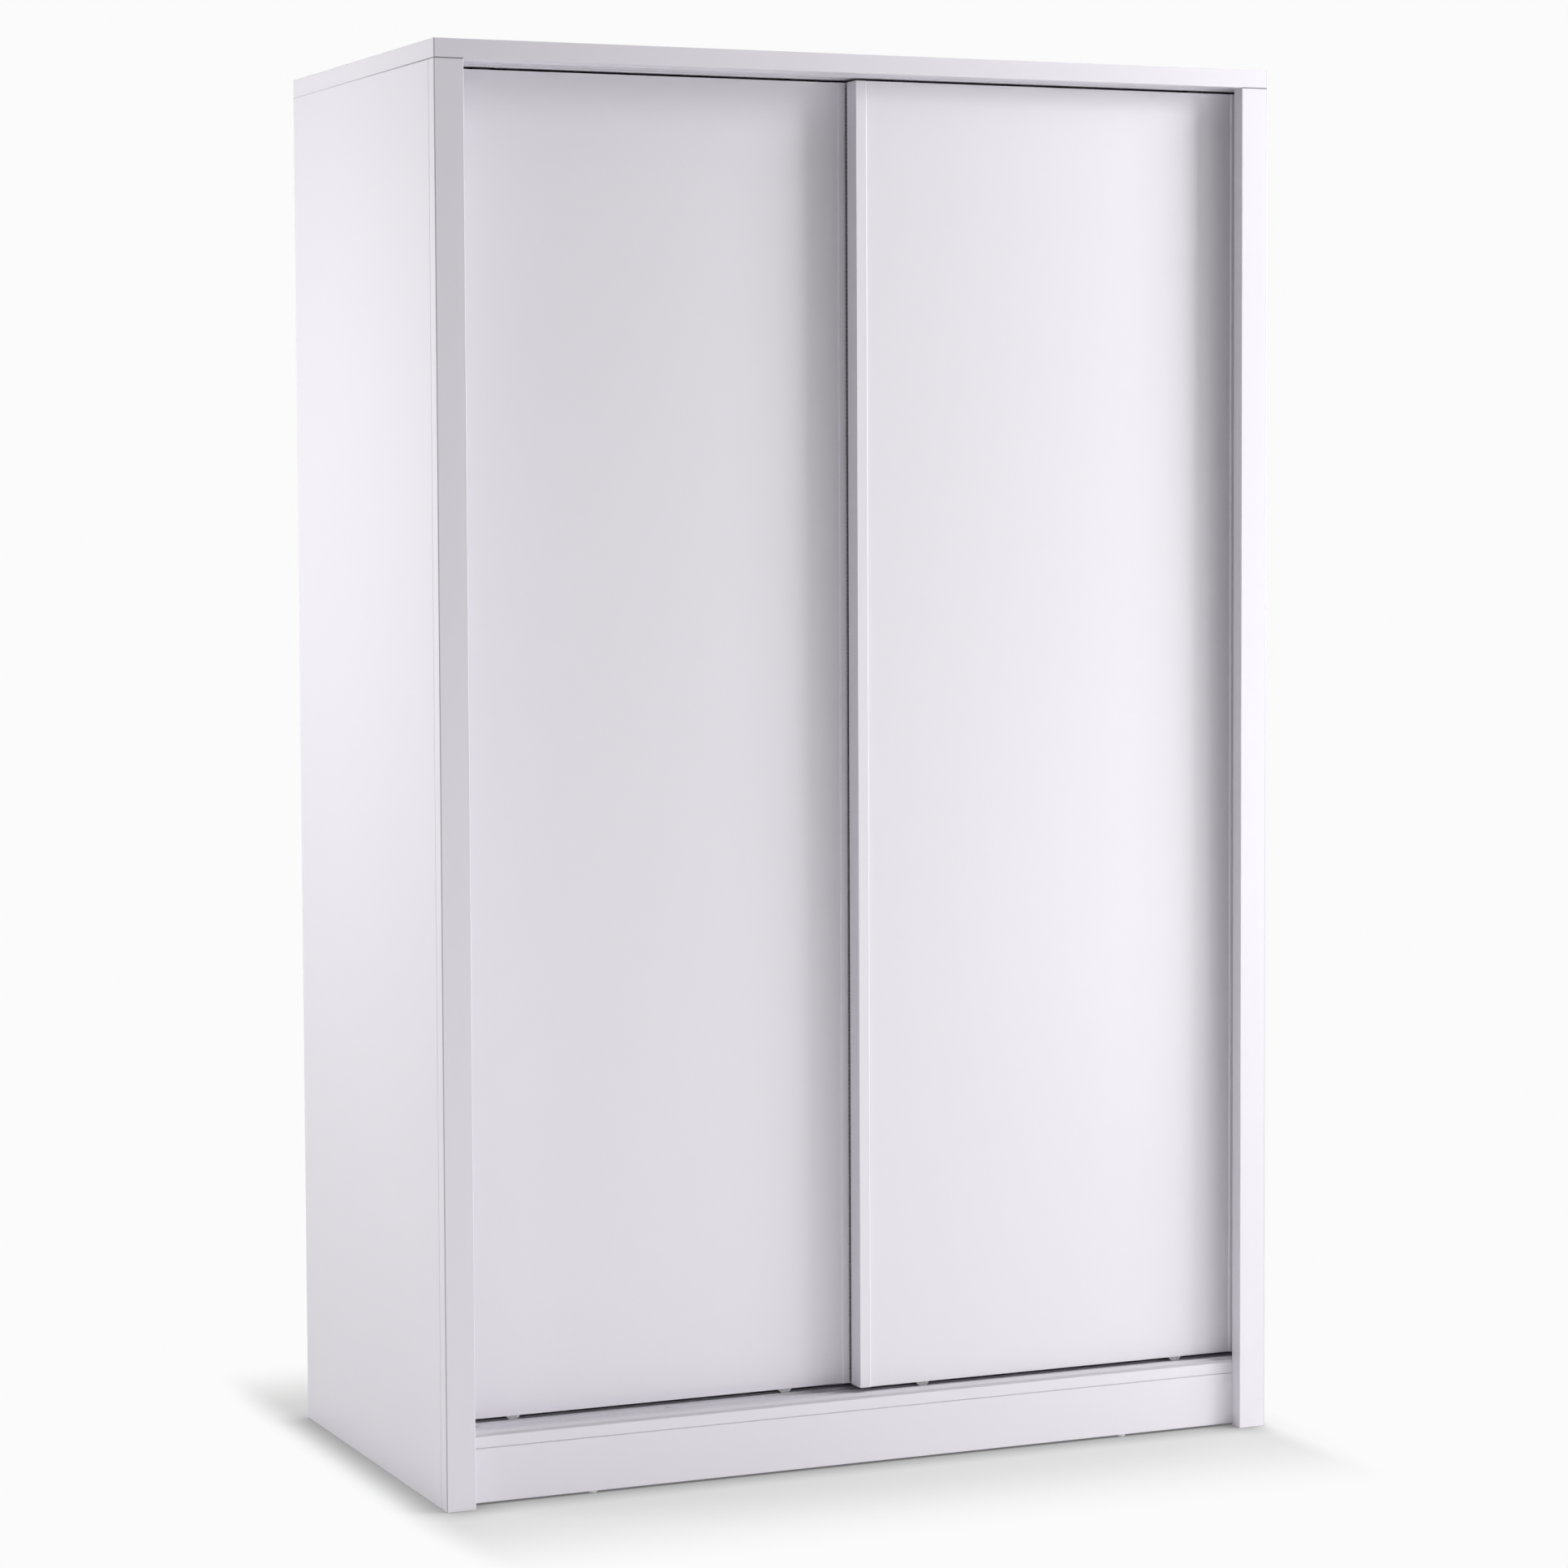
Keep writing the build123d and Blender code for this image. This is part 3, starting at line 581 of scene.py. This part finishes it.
for door in ("left_door", "right_door"):
    axle_form = turned([
        (0, 0), (0.0015, 0), (0.002, 0.0005), (0.002, 0.0135), (0.0015, 0.014), (0, 0.014)], 24)
    places = [facing(middle - Vector((0, size.y / 2, 0)), (0, 1, 0))
              for middle, size in solids_of(f"{door}_axles")]
    add_piece(f"{door}_axle_pins", repeated(axle_form, places), zinc, "zinc_steel", door, f"{door}_axles")


# Wheels: moulded nylon with a ribbed web, one in each fork. They turn on the axle pins as the door rolls
# along its groove in the track.

nylon, coords = new_finish("white_nylon", IOR=1.53, Subsurface_Weight=0.2, Subsurface_Scale=0.004)
grain = coords.noise(2000, 1.0)
feed(nylon,
     Base_Color=coords.noise(120).between((0.80, 0.80, 0.79, 1), (0.86, 0.86, 0.85, 1)),
     Roughness=0.4 + 0.15 * grain,
     Normal=grain.bump(0.06, 0.0002))
dress(nylon, "nylon")

wheel_steps = 60
rib_pitch = math.tau / 5
rib_share = 0.25
pocket_depth = 0.0014


def wheel_form(radius, half):
    """A wheel turned about Z, with rounded shoulders and pockets between the ribs of its web."""
    bore = 0.00205
    hub = 0.0042
    rim = 0.0076
    outline = [(bore, -half), (hub, -half), (rim, -half), (radius - 0.001, -half),
               (radius - 0.0003, -half + 0.0003), (radius, -half + 0.001)]
    outline += [(reach, -height) for reach, height in outline[::-1]]
    form = turned(outline + outline[:1], wheel_steps)
    for side in (-1, 1):
        pockets = []
        for face in form.faces:
            middle = face.calc_center_median()
            turn = math.atan2(middle.y, middle.x) % rib_pitch
            open_web = hub < middle.xy.length < rim and turn > rib_share * rib_pitch
            if open_web and abs(middle.z - side * half) < 1e-6:
                pockets.append(face)
        sunk = bmesh.ops.extrude_face_region(form, geom=pockets)["geom"]
        bmesh.ops.delete(form, geom=pockets, context="FACES")
        floor = [item for item in sunk if isinstance(item, bmesh.types.BMVert)]
        bmesh.ops.translate(form, verts=floor, vec=(0, 0, -side * pocket_depth))
    return form


for door in ("left_door", "right_door"):
    for side in ("left", "right"):
        name = f"{door}_{side}_wheel"
        low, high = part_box(name)
        form = wheel_form((high.z - low.z) / 2, (high.y - low.y) / 2)
        wheel = repeated(form, [facing((low + high) / 2, (0, 1, 0))])
        add_piece(f"{name}_moulding", wheel, nylon, "nylon", f"{name}_body", name)


# Top guides: dark moulded blocks, two behind the upper edge of each panel. Two screws hold each one, and
# its finger runs in the upper rail, so that the door stays upright. They are dark plastic, and their
# near-black tone is also painted shade, which keeps the gap above the doors dark.

dark, coords = new_finish("dark_moulding", IOR=1.46)
grain = coords.noise(1800, 1.0)
feed(dark,
     Base_Color=coords.noise(60).between((0.012, 0.012, 0.013, 1), (0.025, 0.025, 0.026, 1)),
     Roughness=0.45 + 0.15 * grain,
     Normal=grain.bump(0.1, 0.0002))
dress(dark, "dark_plastic")


# Fitting screws: zinc plated pan head wood screws. They go through the flanges of housings and guides
# into the back of the panel.

fitting_head = 0.0018
for door in ("left_door", "right_door"):
    screw = screw_form(head_radius=0.0032, head=fitting_head, shank_radius=0.0015, length=0.010, flush=False)
    places = [facing(middle + Vector((0, size.y / 2 - fitting_head, 0)), (0, 1, 0))
              for middle, size in solids_of(f"{door}_screws")]
    add_piece(f"{door}_pan_screws", repeated(screw, places), zinc, "zinc_steel", door, f"{door}_screws")


# Brush: dark woven pile in a groove at the back of the front door's edge. It closes the gap to the
# rear door.

pile, coords = new_finish("dark_pile", Sheen_Weight=0.3, Sheen_Roughness=0.5)
tufts = coords.noise(1500, 2.0)
feed(pile,
     Base_Color=tufts.between((0.012, 0.012, 0.014, 1), (0.06, 0.06, 0.065, 1)),
     Roughness=0.75 + 0.2 * tufts)

low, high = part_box("brush_seal")
backing_left = 0.001
backing_width = 0.005
backing_depth = 0.0012
tuft_height = 0.0245
tuft_count = int((high.z - low.z) / tuft_height)
strand_rows = 6
strand_pitch = 0.0007
strand_splay = 0.42
strand_root = 0.00034
strand_tip = 0.00016
random.seed(7)
tuft = bmesh.new()
for row in range(strand_rows):
    share = (row + 0.5) / strand_rows
    for step in range(int(tuft_height / strand_pitch)):
        foot_x = backing_left + backing_width * share
        root = Vector((foot_x, low.y + backing_depth, (step + 0.5) * strand_pitch))
        splay = strand_splay * (2 * share - 1)
        lean = Vector((splay + random.uniform(-0.06, 0.06), 1, random.uniform(-0.08, 0.08)))
        reach = (high.y - root.y) * random.uniform(0.9, 0.99)
        strand = facing(root + lean * reach / 2, lean)
        bmesh.ops.create_cone(tuft, cap_ends=True, segments=3, radius1=strand_root, radius2=strand_tip,
                              depth=reach, matrix=strand)
tuft_places = [Matrix.Translation((0, 0, low.z + tuft_height * count)) for count in range(tuft_count)]
brush = repeated(tuft, tuft_places)
backing_middle = (backing_left + backing_width / 2, low.y + backing_depth / 2, (low.z + high.z) / 2)
backing = bmesh.ops.create_cube(brush, size=1.0)["verts"]
bmesh.ops.scale(brush, verts=backing, vec=(backing_width, backing_depth, high.z - low.z))
bmesh.ops.translate(brush, verts=backing, vec=backing_middle)
add_piece("pile_brush", brush, pile, "dark_pile", "right_door", "brush_seal")


# Studio floor: a wide sheet of pale matt paper, on which the wardrobe stands. Seen by the camera or in
# gloss, it fades to white away from the wardrobe, and what lies beyond it is white too. A painted shadow
# darkens it where the wardrobe nearly touches it, and a wider painted shade lies around the wardrobe,
# except on the right, where the key lamp shines along the floor.

scene = bpy.context.scene
scene.view_settings.view_transform = "Standard"
white = 0.965
floor_shape = bmesh.new()
bmesh.ops.create_grid(floor_shape, x_segments=1, y_segments=1, size=30.0)
floor_mesh = bpy.data.meshes.new("studio_floor")
floor_shape.to_mesh(floor_mesh)
floor_shape.free()
floor = bpy.data.objects.new("studio_floor", floor_mesh)
scene.collection.objects.link(floor)


def seen_directly(start):
    """1 where the background itself is seen: by the camera, in gloss or through glass."""
    seen = start.node("ShaderNodeLightPath", output="Is Camera Ray")
    for kind in ("Glossy", "Transmission"):
        ray = start.node("ShaderNodeLightPath", output=f"Is {kind} Ray")
        seen = seen.maths("MAXIMUM", seen, ray)
    return seen


paper = bpy.data.materials.new("studio_paper")
paper.use_nodes = True
paper.node_tree.nodes.remove(paper.node_tree.nodes["Principled BSDF"])
start = Tone(paper.node_tree)
spot = start.node("ShaderNodeTexCoord", output="Object")
side_haste = 5
sideways = side_haste * spot.maths("MAXIMUM", abs(spot.along("X")) - cad_box[1].x, 0.0)
forward = spot.maths("MAXIMUM", abs(spot.along("Y")) - cad_box[1].y, 0.0)
distance = (sideways * sideways + forward * forward) ** 0.5
fade_reach = 0.38
fade_least = 0.6
fade = start.node("ShaderNodeMapRange", {"interpolation_type": "SMOOTHSTEP"},
                  {"Value": distance, "From Max": fade_reach, "To Min": fade_least})
paper_tone = spot.noise(900).between((0.86, 0.86, 0.865, 1), (0.88, 0.88, 0.885, 1))
matt = start.node("ShaderNodeBsdfDiffuse", None, {"Color": paper_tone})
glow = start.node("ShaderNodeEmission", None, {"Strength": white})
seen = seen_directly(start)
lit = start.node("ShaderNodeMixShader", None, {0: fade * seen, 1: matt, 2: glow})
# Painted shadow: for the camera and gloss, black is mixed into the floor by ambient occlusion and by the
# distance from the wardrobe, deepest where the wardrobe nearly touches it, and washed out on the right.
contact_reach = 0.055
contact = start.node("ShaderNodeAmbientOcclusion", None, {"Distance": contact_reach}, output="AO")
right_edge = cad_box[1].x
key_range = {"Value": spot.along("X"), "From Min": right_edge - 0.03, "From Max": right_edge + 0.02}
key_side = start.node("ShaderNodeMapRange", {"interpolation_type": "SMOOTHSTEP"}, key_range)
deepest_shade = 0.8
key_wash = 0.8
open_floor = contact ** 1.1 * (0.35 + 0.65 * fade)
shade = deepest_shade * (1 - open_floor) * (1 - key_wash * key_side)
painted_shadow_black = start.node("ShaderNodeEmission", None, {"Strength": 0.0})
shaded = start.node("ShaderNodeMixShader", None, {0: shade * seen, 1: lit, 2: painted_shadow_black})
paper.node_tree.links.new(shaded.socket, paper.node_tree.nodes["Material Output"].inputs["Surface"])
floor_mesh.materials.append(paper)

world = bpy.data.worlds.new("studio")
scene.world = world
world.use_nodes = True
start = Tone(world.node_tree)
fill = 0.05
surround = world.node_tree.nodes["Background"]
surround.inputs["Color"].default_value = (1, 1, 1, 1)
world.node_tree.links.new((fill + (white - fill) * seen_directly(start)).socket, surround.inputs["Strength"])


# Flag card: the key lamp stands so near the right side that its white would clip there. A card along that
# side keeps the key off it, as a flag does in a studio. The other lamps shine past it, and nothing sees it.

card_x = right_edge + 0.004
card_foot = 0.002
card_front, card_back, card_top = cad_box[0].y, cad_box[1].y, cad_box[1].z
card_corners = [(card_x, card_front, card_foot), (card_x, card_back, card_foot),
                (card_x, card_back, card_top), (card_x, card_front, card_top)]
card_mesh = bpy.data.meshes.new("flag_card")
card_mesh.from_pydata(card_corners, [], [(0, 1, 2, 3)])
card_mesh.materials.append(paper)
card = bpy.data.objects.new("flag_card", card_mesh)
card.visible_camera = False
card.visible_diffuse = False
card.visible_glossy = False
card.visible_transmission = False
scene.collection.objects.link(card)
past_card = bpy.data.collections.new("past_card")
past_card.objects.link(card)
past_card.collection_objects[0].light_linking.link_state = "EXCLUDE"


# Lamps: large soft boxes all round. The key comes from the upper right, as in the photograph, and weaker
# boxes lift the doors' feet, the sides, the top and the back.

def add_lamp(name, place, aim, width, height, power, mirrored=True, flagged=False):
    """A rectangular soft box that points at a spot. Gloss may mirror it, and the card may stop it."""
    lamp = bpy.data.lights.new(name, "AREA")
    lamp.shape = "RECTANGLE"
    lamp.size = width
    lamp.size_y = height
    lamp.energy = power
    box = bpy.data.objects.new(name, lamp)
    box.location = place
    box.visible_glossy = mirrored
    if not flagged:
        box.light_linking.blocker_collection = past_card
    box.rotation_euler = (Vector(aim) - Vector(place)).to_track_quat("-Z", "Y").to_euler()
    scene.collection.objects.link(box)


add_lamp("key_box", (2.6, -1.42, 2.55), (0.35, -0.3, 1.55), 1.2, 1.08, 96, mirrored=False, flagged=True)
add_lamp("low_right_box", (2.15, -1.86, 0.8), (0.35, -0.3, 0.92), 1.1, 1.1, 11)
add_lamp("low_front_box", (1.53, -2.07, 0.5), (0.4, -0.3, 0.5), 1.0, 0.7, 4.8, mirrored=False)
add_lamp("low_left_box", (-0.8, -2.6, 0.5), (-0.2, -0.3, 0.4), 1.2, 0.8, 7.5, mirrored=False)
add_lamp("bounce_box", (-1.6, -1.5, 0.3), (0.55, -0.3, 0.2), 0.6, 0.4, 1.6, mirrored=False)
add_lamp("left_box", (-2.2, 0.35, 1.45), (-0.6, 0.0, 1.18), 0.85, 1.1, 26)
add_lamp("top_box", (0.0, -0.4, 3.6), (0.0, -0.2, 0.0), 2.6, 2.2, 16)
add_lamp("rear_box", (0.6, 3.4, 2.2), (0.0, 0.3, 0.9), 2.0, 1.6, 40, mirrored=False)
add_lamp("right_box", (2.2, 0.5, 1.45), (0.6, 0.0, 1.1), 0.85, 1.1, 15)

# The low boxes would shine in under the doors, where a wardrobe is dark, so they pass the track by.
off_track = bpy.data.collections.new("off_track")
off_track.objects.link(bpy.data.objects["bottom_track"])
off_track.collection_objects[0].light_linking.link_state = "EXCLUDE"
for name in ("low_right_box", "low_front_box", "low_left_box", "bounce_box"):
    bpy.data.objects[name].light_linking.receiver_collection = off_track


# Camera: a long lens from the left front, a little above the wardrobe's middle. It looks slightly down, and
# some lens shift keeps the uprights nearly parallel, as they are in the photograph.

camera_place = Vector((-2.3414, -5.4112, 1.3342))
camera_turn = 0.40946
camera_tilt = 0.05785
camera_roll = -0.00449
lens = bpy.data.cameras.new("camera")
lens.sensor_width = 36.0
lens.lens = 96.276
lens.shift_y = -0.038
lens.clip_end = 100.0
camera = bpy.data.objects.new("camera", lens)
turn = Matrix.Rotation(-camera_turn, 4, "Z") @ Matrix.Rotation(math.pi / 2 - camera_tilt, 4, "X")
camera.matrix_world = Matrix.Translation(camera_place) @ turn @ Matrix.Rotation(camera_roll, 4, "Z")
scene.collection.objects.link(camera)
scene.camera = camera
